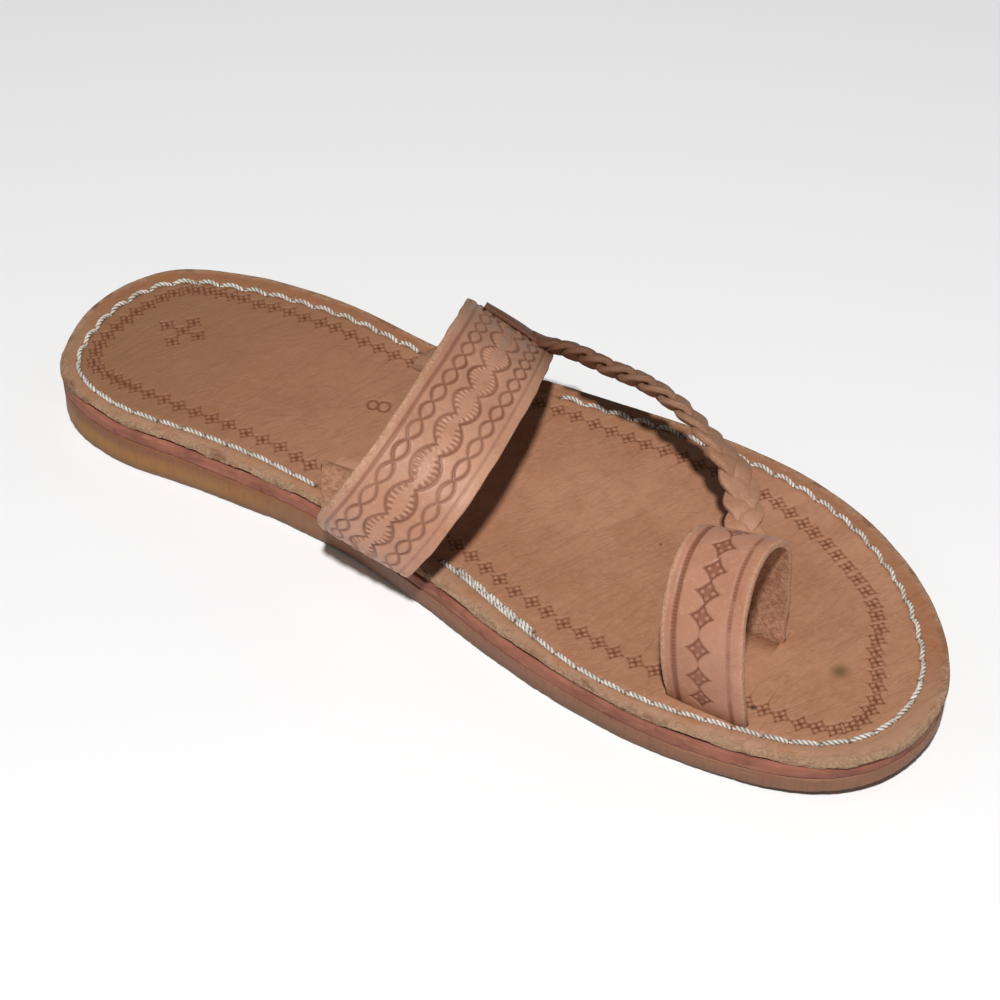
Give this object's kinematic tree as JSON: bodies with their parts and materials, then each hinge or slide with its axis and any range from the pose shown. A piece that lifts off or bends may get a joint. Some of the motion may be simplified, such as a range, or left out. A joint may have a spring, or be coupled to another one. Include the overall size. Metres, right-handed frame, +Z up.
{
  "type": "toe post sandal",
  "caption": "Left leather toe post sandal: crepe wedge, red midsole, stitched footbed, tooled instep strap, flat plait and big toe loop.",
  "frame": {"origin": "on the floor under the middle of the sole's box", "axes": "+X from heel to toe, +Y to the outer side of the left foot, +Z up"},
  "size_m": [0.262, 0.0962, 0.0558],
  "materials": {
    "crepe": "honey-brown crepe, slightly waxy, cut edge",
    "red_layer": "dull reddish sheet, cut edge",
    "footbed_leather": "tan vegetable-tanned leather, satin, with stamped stars and white thread",
    "strap_leather": "tan vegetable-tanned leather, tooled grain side, rough flesh side"
  },
  "bodies": {
    "root": {"outsole": "crepe", "midsole": "red_layer", "footbed": "footbed_leather", "upper": "strap_leather"}
  },
  "joints": []
}
